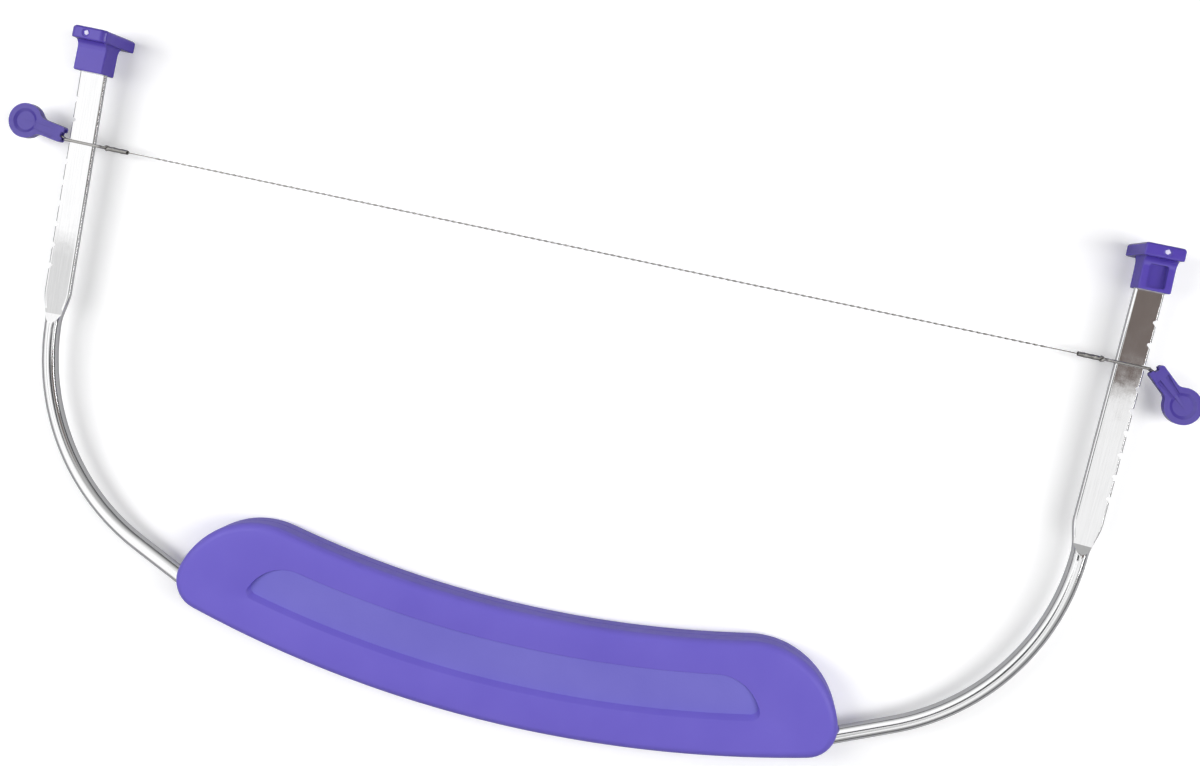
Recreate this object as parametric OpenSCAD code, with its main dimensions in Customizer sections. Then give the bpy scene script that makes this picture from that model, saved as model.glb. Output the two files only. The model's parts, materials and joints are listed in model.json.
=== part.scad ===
// Cake leveler: a bent steel bow with two notched arms, a two-shell grip, two
// feet, and a toothed wire that hooks into a chosen pair of notches.
// It lies flat. X runs along the wire, +Y points to the feet's soles and +Z is
// up. The origin is on the table, midway between the arms and midway between
// the soles and the grip's far edge. Sizes are millimetres, angles degrees.

/* [Bow] */
// Distance between the arms' centre lines at the first notch
arm_gap = 313.6; // [260:0.1:360]
// Distance from the soles to the grip's far edge
bow_depth = 173.4; // [165:0.1:200]
// Outward lean of each arm
arm_splay = 2.3; // [0:0.1:3]
// Diameter of the tube
tube_d = 4.8; // [4:0.1:5.4]
// Bend radius of the tube's shoulders, to its centre line
shoulder_r = 67.6; // [50:0.1:75]
// Slope of the tube between the grip and the shoulder
rise_angle = 24; // [18:0.5:30]
// Radius of the small bends inside the grip, to the tube's centre line
grip_bend_r = 45; // [25:1:60]
// Distance from the grip's far edge to the tube's centre line
bar_inset = 13.3; // [12:0.1:15]
// Width of the flattened strip at the end of each arm
strip_w = 8.4; // [7.6:0.1:9]
// Thickness of the flattened strip
strip_t = 1.8; // [1.4:0.1:2]
// Length of the change from round tube to flat strip
flatten_run = 13; // [10:0.5:16]
// Length of the slope between the tube's top and the strip's broad face
slope_run = 2.8; // [2:0.1:4]

/* [Notches] */
// Number of notches in each arm
notch_count = 9; // [6:1:9]
// Distance from notch to notch
notch_pitch = 6.35; // [5.5:0.05:7]
// Width of a notch
notch_w = 2; // [1.6:0.1:2.4]
// Depth of a notch
notch_depth = 1.3; // [1:0.1:1.6]
// Radius of a notch's rounded bottom
notch_tip_r = 0.45; // [0.3:0.05:0.5]
// Distance from the middle of a notch's mouth to its bottom, toward the foot
notch_lean = 0.25; // [0:0.05:0.4]
// Distance from the soles to the first notch
sole_to_notch = 21.1; // [20:0.1:24]
// Length of strip past the last notch
strip_tail = 3.9; // [2:0.1:6]
// Notch that holds the wire, counted from the feet
wire_notch = 3; // [1:1:6]

/* [Grip] */
// Length of the grip
grip_len = 199; // [190:1:208]
// Width of the grip at its middle
grip_w = 33.4; // [31:0.1:36]
// Thickness of the grip
grip_t = 13; // [12:0.1:15]
// Radius of the grip's far edge
grip_far_r = 364; // [340:1:400]
// Radius of the hollow in the grip's near edge
grip_near_r = 336.5; // [320:0.5:360]
// Radius of the grip's rounded ends
grip_end_r = 25; // [23:0.5:27]
// Radius of the grip's far corners
grip_corner_r = 9; // [6:0.5:11]
// Radius that rounds the grip's outer edges
grip_edge_r = 2.4; // [1.6:0.1:3]
// Thickness of the shells' side walls
shell_wall = 2.2; // [1.8:0.1:2.8]
// Thickness of the shells' broad faces
face_wall = 2.6; // [2.2:0.1:3]
// Distance from the grip's far edge to the scooped panel
panel_far_margin = 11; // [9:0.1:13]
// Distance from the grip's near edge to the scooped panel
panel_near_margin = 9.6; // [8:0.1:12]
// Length of the scooped panel
panel_len = 154.4; // [130:0.1:160]
// Radius of the scooped panel's near corners
panel_end_r = 12.5; // [8:0.1:13]
// Depth of the scoop at its near edge
scoop_near = 0.3; // [0.1:0.1:0.6]
// Depth of the scoop at its far edge
scoop_far = 1.4; // [0.8:0.1:1.6]
// Width of the slope that ends the scoop
scoop_slope = 1.4; // [0.5:0.1:2]
// Thickness of the ribs inside the shells
rib_t = 1.6; // [1.2:0.1:2.4]
// Distance between the ribs
rib_pitch = 30; // [28:1:32]
// Diameter of the pegs that join the shells
peg_d = 4; // [3:0.1:5]
// Height of the pegs above the joint plane
peg_h = 2.6; // [1.5:0.1:3]
// Wall round each peg's hole
boss_wall = 1.6; // [1.2:0.1:2]
// Distance between the tube and the walls round the pegs' holes
peg_gap = 6.5; // [5:0.1:7.5]

/* [Feet] */
// Height of a foot
foot_h = 12.6; // [11:0.1:14]
// Depth of a foot along the table's normal
foot_depth = 20; // [18:0.1:24]
// Width of a foot's plate
plate_w = 11; // [10:0.1:13]
// Thickness of a foot's plate
plate_t = 3.6; // [3:0.1:4.5]
// Bevel on the plate's two corners at its plain end
plate_bevel = 1.4; // [0.8:0.1:2]
// Wall of the foot beside the strip's edges
foot_wall = 0.4; // [0.3:0.1:0.8]
// Thickness of the foot's socket
socket_t = 8; // [7.6:0.1:10]
// Radius of the fillets between plate and socket
foot_fillet_r = 2.4; // [1.5:0.1:3]
// Thickness of the foot under the strip's end
sole_wall = 2; // [1.6:0.1:3]
// Width of the pocket in the socket
pocket_w = 5.2; // [4.6:0.1:5.6]
// Length of the pocket in the socket
pocket_h = 6.5; // [5:0.1:6.8]
// Depth of the pocket in the socket
pocket_depth = 2.2; // [1.5:0.1:2.4]
// Rim between the pocket and the socket's open end
pocket_rim = 0.9; // [0.7:0.1:1.4]

/* [Wire] */
// Diameter across the cutting wire's teeth
wire_d = 0.55; // [0.45:0.01:0.7]
// Diameter of the hook's wire
hook_d = 0.9; // [0.8:0.01:1]
// Length of a ferrule
ferrule_len = 6; // [5:0.1:8]
// Wall of a ferrule
ferrule_wall = 0.2; // [0.15:0.01:0.3]
// Length of the hook's legs between the ferrule and the strip at the last notch
hook_neck = 2.6; // [2:0.1:5]
// Bend radius of the hook round the strip's edge, to its centre line
hook_bend_r = 0.7; // [0.5:0.05:0.8]
// Length of the link from the hook's bend to the tab's pivot
link_len = 3.8; // [3.7:0.1:5]
// Bend of the link away from the wire's line
link_bend = 23.5; // [15:0.5:30]
// Diameter of the pin at the link's end
pin_d = 1.1; // [1:0.05:1.3]

/* [Tabs] */
// Diameter of a tab's disc
disc_d = 10.5; // [9:0.1:12]
// Thickness of a tab
tab_t = 2.6; // [2.5:0.1:3.2]
// Width of a tab's stem
stem_w = 4.8; // [4.6:0.1:5.4]
// Distance from a tab's mouth to its pivot
mouth_run = 2.6; // [2:0.1:2.8]
// Distance from a tab's pivot to the middle of its disc
stem_run = 10.8; // [9:0.1:13]
// Width of the rim round the disc's dish
rim_w = 0.9; // [0.6:0.1:1.4]
// Depth of the dish in each side of the disc
dish_depth = 0.5; // [0.3:0.1:0.7]
// Width of the ridge along the tab
ridge_w = 1.2; // [0.8:0.1:1.6]
// Swing of a tab each way from its link's line
tab_swing = 25; // [15:1:25]
// Resting angle of the left tab from its link
left_tab_angle = -14; // [-20:1:20]
// Resting angle of the right tab from its link
right_tab_angle = 19; // [-20:1:20]

/* [Fits] */
// Radial clearance of the tab on its pivot
pivot_fit = 0.05; // [0.03:0.01:0.08]
// Clearance between the hook and the strip
hook_fit = 0.1; // [0.08:0.01:0.2]
// Clearance round the strip in its foot and the pegs in their holes
push_fit = 0.05; // [0.03:0.01:0.08]

/* [Hidden] */
$fn = 48;
steel = [0.82, 0.82, 0.84];
grip_colour = [0.45, 0.40, 0.80];
foot_colour = [0.36, 0.29, 0.70];
// Overlap that fuses two shapes of one piece
weld = 0.02;
// Overrun of a cut past a face, and gap between wires that lie side by side
slice = 0.01;

mid_z = foot_depth / 2;
sole_y = bow_depth / 2;
grip_far_y = -bow_depth / 2;
first_notch_y = sole_y - sole_to_notch;
notch_step = notch_pitch * cos(arm_splay);
last_notch_y = first_notch_y - (notch_count - 1) * notch_step;
wire_y = first_notch_y - (wire_notch - 1) * notch_step;
function arm_x(y) = arm_gap / 2 + (y - first_notch_y) * tan(arm_splay);

// The point on the right arm's centre line at a distance from its first notch toward the grip
function arm_point(run) = [arm_gap / 2, first_notch_y] - run * [sin(arm_splay), cos(arm_splay)];

// Lengths along an arm, measured from its first notch toward the grip
strip_run = (notch_count - 1) * notch_pitch + strip_tail;
tube_run = strip_run + flatten_run;
strip_end_run = (sole_to_notch - sole_wall) / cos(arm_splay);

// Distance from the round tube to the crease where the strip's broad face starts
crease = slope_run / flatten_run;

// The tube's route: a bar in the grip, a small bend, a rise and the shoulder
bar_y = grip_far_y + bar_inset;
shoulder_turn = 90 - arm_splay - rise_angle;
shoulder_reach = shoulder_r * tan(shoulder_turn / 2);
shoulder_y = first_notch_y - (tube_run + shoulder_reach) * cos(arm_splay);
shoulder_x = arm_x(shoulder_y);
bend_x = shoulder_x - (shoulder_y - bar_y) / tan(rise_angle);
bend_reach = grip_bend_r * tan(rise_angle / 2);
bend_c = [bend_x - bend_reach, bar_y + grip_bend_r];
shoulder_c = arm_point(tube_run) - shoulder_r * [cos(arm_splay), -sin(arm_splay)];

// Centres of the arcs in the grip's outline
far_c = [0, grip_far_y + grip_far_r];
near_c = [0, grip_far_y + grip_w + grip_near_r];
end_x = grip_len / 2 - grip_end_r;
end_c = [end_x, near_c.y - sqrt(pow(grip_near_r + grip_end_r, 2) - end_x * end_x)];
corner_c = crossing(end_c, grip_end_r - grip_corner_r, far_c, grip_far_r - grip_corner_r);
arc_steps = 12;
bend_steps = 6;
shoulder_steps = 20;
slope_steps = 3;
flatten_steps = 8;
ring_points = 20;
wire_points = 12;

// Centres of the arcs in the scooped panel's outline
panel_far_r = grip_far_r - panel_far_margin;
panel_near_r = grip_near_r + panel_near_margin;
panel_end_x = panel_len / 2 - panel_end_r;
panel_end_c = [panel_end_x,
    near_c.y - sqrt(pow(panel_near_r + panel_end_r, 2) - panel_end_x * panel_end_x)];
panel_corner = crossing(panel_end_c, panel_end_r, far_c, panel_far_r);

// The wire's own places along X, measured from the middle
edge_half = strip_w / 2 / cos(arm_splay);
hook_r = hook_d / 2;
leg_z = strip_t / 2 + hook_fit + hook_r;
pair_z = hook_r + slice;
join_x = arm_x(first_notch_y + hook_r) + edge_half + hook_fit + hook_r;
strip_in_x = arm_x(last_notch_y) - edge_half - hook_fit;
ferrule_out_x = strip_in_x - hook_neck;
ferrule_mid_x = ferrule_out_x - ferrule_len / 2;
ferrule_in_x = ferrule_out_x - ferrule_len;
pin_half = tab_t / 2 - hook_fit;
link_end = link_len * [cos(link_bend), -sin(link_bend)];

// Angle of the line from one point to another
function heading(a, b) = atan2(b.y - a.y, b.x - a.x);

// Points of an arc after its first one
function arc(c, r, a0, a1, n = arc_steps) =
    [for (i = [1 : n]) c + r * [cos(a0 + (a1 - a0) * i / n), sin(a0 + (a1 - a0) * i / n)]];

// The crossing of two circles that lies to the right of the line between their centres
function crossing(c1, r1, c2, r2) =
    let (d = norm(c2 - c1), u = (c2 - c1) / d)
    let (a = (d * d + r1 * r1 - r2 * r2) / (2 * d), h = sqrt(r1 * r1 - a * a))
    c1 + a * u + h * [u.y, -u.x];

// A half outline from the middle of the far edge to the middle of the near one, both sides
function both_sides(h) =
    concat(h, [for (i = [len(h) - 2 : -1 : 1]) [-h[i].x, h[i].y]]);

// The grip's outline, moved inward by d
function grip_outline(d) = both_sides(concat(
    [far_c - [0, grip_far_r - d]],
    arc(far_c, grip_far_r - d, -90, heading(far_c, corner_c)),
    arc(corner_c, grip_corner_r - d, heading(far_c, corner_c), heading(end_c, corner_c)),
    arc(end_c, grip_end_r - d, heading(end_c, corner_c), heading(end_c, near_c)),
    arc(near_c, grip_near_r + d, heading(near_c, end_c), -90)));

// The scooped panel's outline, with a sharp far corner at each end
panel_outline = both_sides(concat(
    [far_c - [0, panel_far_r]],
    arc(far_c, panel_far_r, -90, heading(far_c, panel_corner)),
    arc(panel_end_c, panel_end_r, heading(panel_end_c, panel_corner), heading(panel_end_c, near_c)),
    arc(near_c, panel_near_r, heading(near_c, panel_end_c), -90)));

// A solid through rings of points, all with the same number of points
module skin(rings) {
    n = len(rings[0]);
    top = (len(rings) - 1) * n;
    points = [for (ring = rings) for (p = ring) p];
    sides = [for (k = [0 : len(rings) - 2]) for (i = [0 : n - 1])
        let (j = (i + 1) % n) [k * n + i, (k + 1) * n + i, (k + 1) * n + j, k * n + j]];
    caps = [[for (i = [0 : n - 1]) i], [for (i = [n - 1 : -1 : 0]) top + i]];
    polyhedron(points, concat(caps, sides));
}

// A round rod between two points
module rod(a, b, d) {
    v = b - a;
    translate(a) rotate([0, acos(v.z / norm(v)), atan2(v.y, v.x)]) cylinder(h = norm(v), d = d);
}

// Shares of the flattening run at which the bow has a ring, closer together on the slope
press_shares = concat([for (i = [1 : slope_steps]) crease * i / slope_steps],
    [for (i = [1 : flatten_steps]) crease + (1 - crease) * i / flatten_steps]);

// Where the right half of the bow runs: each station is x, y, heading and share of the flattening run
bow_stations = concat(
    [for (i = [0 : bend_steps]) let (a = rise_angle * i / bend_steps)
        [bend_c.x + grip_bend_r * sin(a), bend_c.y - grip_bend_r * cos(a), a, 0]],
    [for (i = [0 : shoulder_steps]) let (a = rise_angle + shoulder_turn * i / shoulder_steps)
        [shoulder_c.x + shoulder_r * sin(a), shoulder_c.y - shoulder_r * cos(a), a, 0]],
    [for (t = press_shares) let (p = arm_point(tube_run - t * flatten_run)) [p.x, p.y, 90 - arm_splay, t]],
    [[arm_point(-strip_end_run).x, arm_point(-strip_end_run).y, 90 - arm_splay, 1]]);

// One cross-section of the bow: a circle of diameter d whose top and bottom are pressed flat, and
// which spreads into a strip with round edges
function bow_ring(station, d) = [for (i = [0 : ring_points - 1])
    let (a = 360 * (i + 0.5) / ring_points, h = station[2], t = station[3])
    let (spread = t * t * (3 - 2 * t), half_t = max(strip_t, d - (d - strip_t) * t / crease) / 2)
    let (u = (1 - spread) * d / 2 * cos(a) + spread * (strip_t * cos(a) + sign(cos(a)) * (strip_w - strip_t)) / 2,
        v = (1 - spread) * min(max(d / 2 * sin(a), -half_t), half_t) + spread * strip_t / 2 * sin(a))
    [station[0] - u * sin(h), station[1] + u * cos(h), v]];

// The bow's route from foot to foot, with a tube of diameter d
module bow(d) {
    left = [for (i = [len(bow_stations) - 1 : -1 : 0]) let (s = bow_stations[i]) [-s[0], s[1], -s[2], s[3]]];
    skin([for (station = concat(left, bow_stations)) bow_ring(station, d)]);
}

// Places a shape on an arm: its origin at the first notch, +Y along the arm to the foot
module on_arm() {
    translate([arm_gap / 2, first_notch_y, 0]) rotate([0, 0, -arm_splay]) children();
}

// A notch in the strip's outer edge: a V with a rounded bottom, steeper on its foot side
module notch() {
    linear_extrude(2 * strip_t, center = true) hull() {
        translate([strip_w / 2 - notch_depth + notch_tip_r, notch_lean]) circle(notch_tip_r);
        translate([strip_w / 2, -notch_w / 2]) square([notch_depth, notch_w]);
    }
}

module bow_tube() {
    color(steel) translate([0, 0, mid_z]) difference() {
        bow(tube_d);
        for (side = [0, 1]) mirror([side, 0, 0]) on_arm() for (k = [0 : notch_count - 1])
            translate([0, -k * notch_pitch, 0]) notch();
    }
}

// The scoop that the panel leaves in a broad face at height top
module scoop(top) {
    inner = norm(panel_end_c - far_c) - 2 * panel_end_r;
    span = 2 * asin((panel_len / 2 + panel_far_margin) / panel_far_r);
    near = grip_far_r - grip_w + panel_near_margin;
    intersection() {
        translate([0, 0, top - 2 * scoop_far]) linear_extrude(4 * scoop_far) polygon(panel_outline);
        translate([far_c.x, far_c.y, top]) rotate([0, 0, -90 - span / 2])
            rotate_extrude(angle = span, $fn = 360) polygon([
                [inner, -scoop_near], [near, -scoop_near], [panel_far_r - scoop_slope, -scoop_far],
                [panel_far_r + slice, slice], [panel_far_r + slice, scoop_far], [inner, scoop_far]]);
    }
}

// Middles of the pegs, between the tube and the grip's near edge
peg_y = bar_y + tube_d / 2 + peg_gap + boss_wall + peg_d / 2;
peg_xs = rib_pitch * [-8 / 3, -3 / 2, 3 / 2, 8 / 3];

// One half of the grip, above the joint plane at height 0
module grip_half() {
    top = grip_t / 2;
    levels = concat([[0, 0]], [for (a = [0 : 22.5 : 90])
        [top - grip_edge_r * (1 - sin(a)), grip_edge_r * (1 - cos(a))]]);
    difference() {
        union() {
            difference() {
                skin([for (level = levels) [for (p = grip_outline(level[1])) [p.x, p.y, level[0]]]]);
                translate([0, 0, -face_wall]) linear_extrude(top) polygon(grip_outline(shell_wall));
            }
            intersection() {
                linear_extrude(top - face_wall + weld) polygon(grip_outline(shell_wall - weld));
                for (x = [-2 * rib_pitch : rib_pitch : 2 * rib_pitch])
                    translate([x - rib_t / 2, grip_far_y, 0]) cube([rib_t, 2 * grip_w, top]);
            }
            for (x = peg_xs) translate([x, peg_y, 0])
                cylinder(h = top - face_wall + weld, d = peg_d + 2 * (push_fit + boss_wall));
        }
        bow(tube_d + 2 * push_fit);
        scoop(top);
    }
}

module handle_front_shell() {
    color(grip_colour) translate([0, 0, mid_z]) difference() {
        grip_half();
        for (x = peg_xs) translate([x, peg_y, -slice])
            cylinder(h = peg_h + push_fit + slice, d = peg_d + 2 * push_fit);
    }
}

module handle_rear_shell() {
    color(grip_colour) translate([0, 0, mid_z]) {
        mirror([0, 0, 1]) grip_half();
        for (x = peg_xs) translate([x, peg_y, -weld]) cylinder(h = peg_h + weld, d = peg_d);
    }
}

// The right foot, with its plain end toward -Z and its pocket toward +Z
module foot() {
    socket_w = strip_w + 2 * foot_wall;
    middle_x = arm_x(sole_y - (foot_h + sole_wall) / 2);
    outer_x = middle_x + socket_w / 2;
    inner_x = outer_x - plate_w;
    plate_y = sole_y - plate_t;
    difference() {
        union() {
            translate([0, sole_y, 0]) rotate([90, 0, 0]) linear_extrude(plate_t) polygon([
                [inner_x, foot_depth / 2], [inner_x, plate_bevel - foot_depth / 2],
                [inner_x + plate_bevel, -foot_depth / 2], [outer_x - plate_bevel, -foot_depth / 2],
                [outer_x, plate_bevel - foot_depth / 2], [outer_x, foot_depth / 2]]);
            translate([middle_x - socket_w / 2, sole_y - foot_h, -socket_t / 2])
                cube([socket_w, foot_h - plate_t + weld, socket_t]);
            for (side = [0, 1]) mirror([0, 0, side])
                translate([middle_x - socket_w / 2, plate_y - foot_fillet_r, socket_t / 2 - weld])
                    difference() {
                        cube([socket_w, foot_fillet_r + weld, foot_fillet_r + weld]);
                        translate([-slice, 0, foot_fillet_r + weld]) rotate([0, 90, 0])
                            cylinder(h = socket_w + 2 * slice, r = foot_fillet_r);
                    }
        }
        on_arm() translate([-strip_w / 2 - push_fit, 0, -strip_t / 2 - push_fit])
            cube([strip_w + 2 * push_fit, strip_end_run + push_fit, strip_t + 2 * push_fit]);
        translate([middle_x - pocket_w / 2, sole_y - foot_h + pocket_rim, socket_t / 2 - pocket_depth])
            cube([pocket_w, pocket_h, socket_t]);
    }
}

module right_foot() {
    color(foot_colour) translate([0, 0, mid_z]) foot();
}

// The same foot turned half round about the Y axis
module left_foot() {
    color(foot_colour) translate([0, 0, mid_z]) rotate([0, 180, 0]) foot();
}

module cutting_wire() {
    color(steel) rod([-ferrule_mid_x, wire_y, mid_z], [ferrule_mid_x, wire_y, mid_z], wire_d);
}

// A slot shape with round ends, w wide and long from end to end along Y
module slot_shape(w, long) {
    square([w, long - w], center = true);
    for (s = [-1, 1]) translate([0, s * (long - w) / 2]) circle(d = w);
}

// The right ferrule: a round hole for the cutting wire, a slot for the hook's two legs
module ferrule() {
    fit = ferrule_wall / 10;
    bore_w = hook_d + 2 * fit;
    bore_h = 2 * (pair_z + hook_r + fit);
    translate([ferrule_in_x, wire_y, 0]) rotate([90, 0, 90]) difference() {
        linear_extrude(ferrule_len) slot_shape(bore_w + 2 * ferrule_wall, bore_h + 2 * ferrule_wall);
        translate([0, 0, -slice]) cylinder(h = ferrule_len, d = wire_d + 2 * fit);
        translate([0, 0, ferrule_len / 2]) linear_extrude(ferrule_len) slot_shape(bore_w, bore_h);
    }
}

module right_ferrule() {
    color(steel) translate([0, 0, mid_z]) ferrule();
}

module left_ferrule() {
    color(steel) translate([0, 0, mid_z]) mirror([1, 0, 0]) ferrule();
}

// The line of the hook's wire in the XZ plane, from one leg's end round to the other's
hook_leg = [[ferrule_mid_x, pair_z], [ferrule_out_x, pair_z], [strip_in_x, leg_z],
    [join_x - hook_bend_r, leg_z]];
hook_route = concat(hook_leg,
    arc([join_x - hook_bend_r, leg_z - hook_bend_r], hook_bend_r, 90, 0, bend_steps),
    arc([join_x - hook_bend_r, hook_bend_r - leg_z], hook_bend_r, 0, -90, bend_steps),
    [for (i = [len(hook_leg) - 2 : -1 : 0]) [hook_leg[i].x, -hook_leg[i].y]]);

// Rings of diameter d round a route in the XZ plane, mitred where the route bends
function wire_rings(route, d) = [for (i = [0 : len(route) - 1])
    let (before = heading(route[max(i - 1, 0)], route[max(i, 1)]))
    let (after = heading(route[min(i, len(route) - 2)], route[min(i + 1, len(route) - 1)]))
    let (h = (before + after) / 2, mitre = 1 / cos((after - before) / 2))
    [for (k = [0 : wire_points - 1]) let (a = 360 * (k + 0.5) / wire_points, u = d / 2 * mitre * cos(a))
        [route[i].x - u * sin(h), -d / 2 * sin(a), route[i].y + u * cos(h)]]];

// The right hook: two legs past the strip, a bend outside it, a link and the tab's pin
module hook() {
    translate([0, wire_y, 0]) {
        skin(wire_rings(hook_route, hook_d));
        translate([join_x, 0, 0]) {
            rod([0, 0, 0], [link_end.x, link_end.y, 0], hook_d);
            translate([link_end.x, link_end.y, -pin_half]) cylinder(h = 2 * pin_half, d = pin_d);
        }
    }
}

module right_hook() {
    color(steel) translate([0, 0, mid_z]) hook();
}

// The same hook turned half round about the Z axis through the wire's middle
module left_hook() {
    color(steel) translate([0, 0, mid_z]) half_turn() hook();
}

// Turns a shape half round about the upright line through the middle of the wire
module half_turn() {
    translate([0, wire_y, 0]) rotate([0, 0, 180]) translate([0, -wire_y, 0]) children();
}

// A tab with its pivot at the origin and its disc toward +X
module tab() {
    slot_z = hook_r + hook_fit;
    slot_y = hook_r + hook_fit;
    mouth_y = slot_y + mouth_run * tan(tab_swing);
    difference() {
        union() {
            translate([-mouth_run, -stem_w / 2, -tab_t / 2])
                cube([mouth_run + stem_run, stem_w, tab_t]);
            translate([stem_run, 0, -tab_t / 2]) cylinder(h = tab_t, d = disc_d);
        }
        translate([stem_run, 0, tab_t / 2 - dish_depth]) cylinder(h = tab_t, d = disc_d - 2 * rim_w);
        translate([stem_run, 0, -tab_t / 2 + dish_depth - tab_t])
            cylinder(h = tab_t, d = disc_d - 2 * rim_w);
        translate([0, 0, -tab_t]) cylinder(h = 2 * tab_t, d = pin_d + 2 * pivot_fit);
        translate([0, 0, -slot_z]) linear_extrude(2 * slot_z) polygon([
            [0, -slot_y], [0, slot_y], [-mouth_run - slice, mouth_y], [-mouth_run - slice, -mouth_y]]);
        translate([-mouth_run - slice, -mouth_y, -tab_t])
            cube([mouth_run + slice - pin_d, 2 * mouth_y, 2 * tab_t]);
    }
    for (s = [-1, 1]) translate([0, 0, s * (tab_t / 2 - dish_depth)])
        rod([pin_d + ridge_w / 2, 0, 0], [stem_run, 0, 0], ridge_w);
}

// Places the right tab on its hook's pin, turned from the link by an angle toward the grip
module on_pin(angle) {
    translate([join_x + link_end.x, wire_y + link_end.y, 0])
        rotate([0, 0, -link_bend - angle]) children();
}

module right_tab() {
    color(foot_colour) translate([0, 0, mid_z]) on_pin(right_tab_angle) tab();
}

module left_tab() {
    color(foot_colour) translate([0, 0, mid_z]) half_turn() on_pin(left_tab_angle) tab();
}

bow_tube();
handle_front_shell();
handle_rear_shell();
left_foot();
right_foot();
cutting_wire();
left_ferrule();
right_ferrule();
left_hook();
right_hook();
left_tab();
right_tab();
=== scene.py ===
# %% [markdown]
# # A cake leveler, piece by piece
#
# A cake leveler is a bow of bent steel tube with a plastic grip. Its two arms
# are pressed flat and notched, and a toothed wire is hooked across them at the
# height of the cut. This lesson dresses its CAD model: each solid gets a finer
# piece in its place, made with Blender's mesh operators, and a node finish.
#
# The frame is loaded first, because every piece takes its place from it.

# %% Load the frame
import json
import math

import bmesh
import bpy
from mathutils import Matrix, Vector


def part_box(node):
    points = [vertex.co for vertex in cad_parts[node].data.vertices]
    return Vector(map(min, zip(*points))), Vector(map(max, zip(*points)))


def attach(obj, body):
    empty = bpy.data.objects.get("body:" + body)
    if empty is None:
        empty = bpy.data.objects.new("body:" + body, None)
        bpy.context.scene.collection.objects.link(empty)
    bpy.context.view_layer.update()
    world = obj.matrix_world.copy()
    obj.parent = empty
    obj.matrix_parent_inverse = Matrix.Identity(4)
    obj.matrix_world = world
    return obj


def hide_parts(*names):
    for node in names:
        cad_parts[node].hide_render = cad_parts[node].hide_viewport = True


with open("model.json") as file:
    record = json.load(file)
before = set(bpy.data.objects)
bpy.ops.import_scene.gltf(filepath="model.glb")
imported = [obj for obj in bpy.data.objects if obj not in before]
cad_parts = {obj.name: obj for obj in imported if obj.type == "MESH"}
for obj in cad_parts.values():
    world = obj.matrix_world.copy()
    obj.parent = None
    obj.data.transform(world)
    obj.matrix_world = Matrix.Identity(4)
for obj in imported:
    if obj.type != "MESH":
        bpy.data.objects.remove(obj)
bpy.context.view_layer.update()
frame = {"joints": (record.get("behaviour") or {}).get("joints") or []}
scene = bpy.context.scene

# %% [markdown]
# ## Sizes that many pieces share
#
# The tool lies flat: X runs along the wire, +Y points to the soles of the
# feet, and Z is up. Everything is drawn in millimetres, because such numbers
# are easy to read on a small tool, and each mesh is brought to metres when it
# is finished. The places of the joints come from the frame itself.

# %% Shared sizes
MM = 0.001
wire_low, wire_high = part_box("cutting_wire")
MID_Z = wire_low.z / MM + (wire_high.z - wire_low.z) / MM / 2
SOLE_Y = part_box("left_foot")[1].y / MM
FAR_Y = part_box("handle_front_shell")[0].y / MM
WIRE_Y = (wire_low.y + wire_high.y) / MM / 2

SPLAY = 2.3  # outward lean of each arm, in degrees
NOTCH_PITCH = 6.35
NOTCH_COUNT = 9
ARM_LINE = (math.sin(math.radians(SPLAY)), math.cos(math.radians(SPLAY)))
FIRST_NOTCH = Vector((156.8, SOLE_Y - 21.1))  # the right arm's centre line at its first notch


def arm_point(run):
    """A point on the right arm's centre line, a distance from its first notch toward the grip."""
    return FIRST_NOTCH - run * Vector(ARM_LINE)


def arm_place(x, y):
    """How far a flat point lies from the first notch toward the grip, and outward across the arm."""
    offset = Vector((x, y)) - FIRST_NOTCH
    return -offset.dot(Vector(ARM_LINE)), offset.x * ARM_LINE[1] - offset.y * ARM_LINE[0]


def heading(a, b):
    """The angle, in degrees, of the line from one flat point to another."""
    return math.degrees(math.atan2(b.y - a.y, b.x - a.x))


print(f"wire at y {WIRE_Y:.2f}, mid height {MID_Z:.2f}, depth {SOLE_Y - FAR_Y:.1f} mm")

# %% [markdown]
# ## Small helpers
#
# Three steps come back for every piece. A ring or an outline is spun about an
# upright line, as a pipe bender or a compass does. One closed mesh is cut out
# of another by a Boolean modifier on a throwaway object, because the operators
# have no punch of their own. And a finished mesh is put on its CAD body.


# %% Spin and extrude
def unique(items):
    """The items once each, in a fixed order, so that every run builds the same mesh."""
    return list(dict.fromkeys(items))


def everything(bm):
    """A mesh's vertices, edges and faces."""
    return bm.verts[:] + bm.edges[:] + bm.faces[:]


def edges_of(geom):
    return [g for g in geom if isinstance(g, bmesh.types.BMEdge)]


def verts_of(geom):
    return [g for g in geom if isinstance(g, bmesh.types.BMVert)]


def with_edges(verts):
    """The vertices of a ring, followed by its edges."""
    return verts + unique(e for v in verts for e in v.link_edges)


def spin(bm, geom, centre, degrees, steps, axis=(0, 0, 1), advance=(0, 0, 0)):
    """Spins geometry about an axis and returns its last copy."""
    made = bmesh.ops.spin(
        bm, geom=geom, cent=centre, axis=axis, dvec=advance, angle=math.radians(degrees),
        steps=steps, use_merge=False, use_normal_flip=False, use_duplicate=False)
    return made["geom_last"]


def pull(bm, ring, move):
    """Extrudes a ring or a chain of edges by a move and returns the new one, with its vertices."""
    made = bmesh.ops.extrude_edge_only(bm, edges=edges_of(ring))["geom"]
    verts = verts_of(made)
    bmesh.ops.translate(bm, vec=move, verts=verts)
    fresh = set(verts)
    return verts + [e for e in edges_of(made) if e.verts[0] in fresh and e.verts[1] in fresh]


# %% Pull, close, bevel and turn
def pull_faces(bm, faces, way, keep=False):
    """Pulls faces to a slab. The first faces are kept inside it if they are to be pulled again."""
    made = bmesh.ops.extrude_face_region(bm, geom=faces, use_keep_orig=keep)
    bmesh.ops.translate(bm, vec=way, verts=verts_of(made["geom"]))


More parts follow.
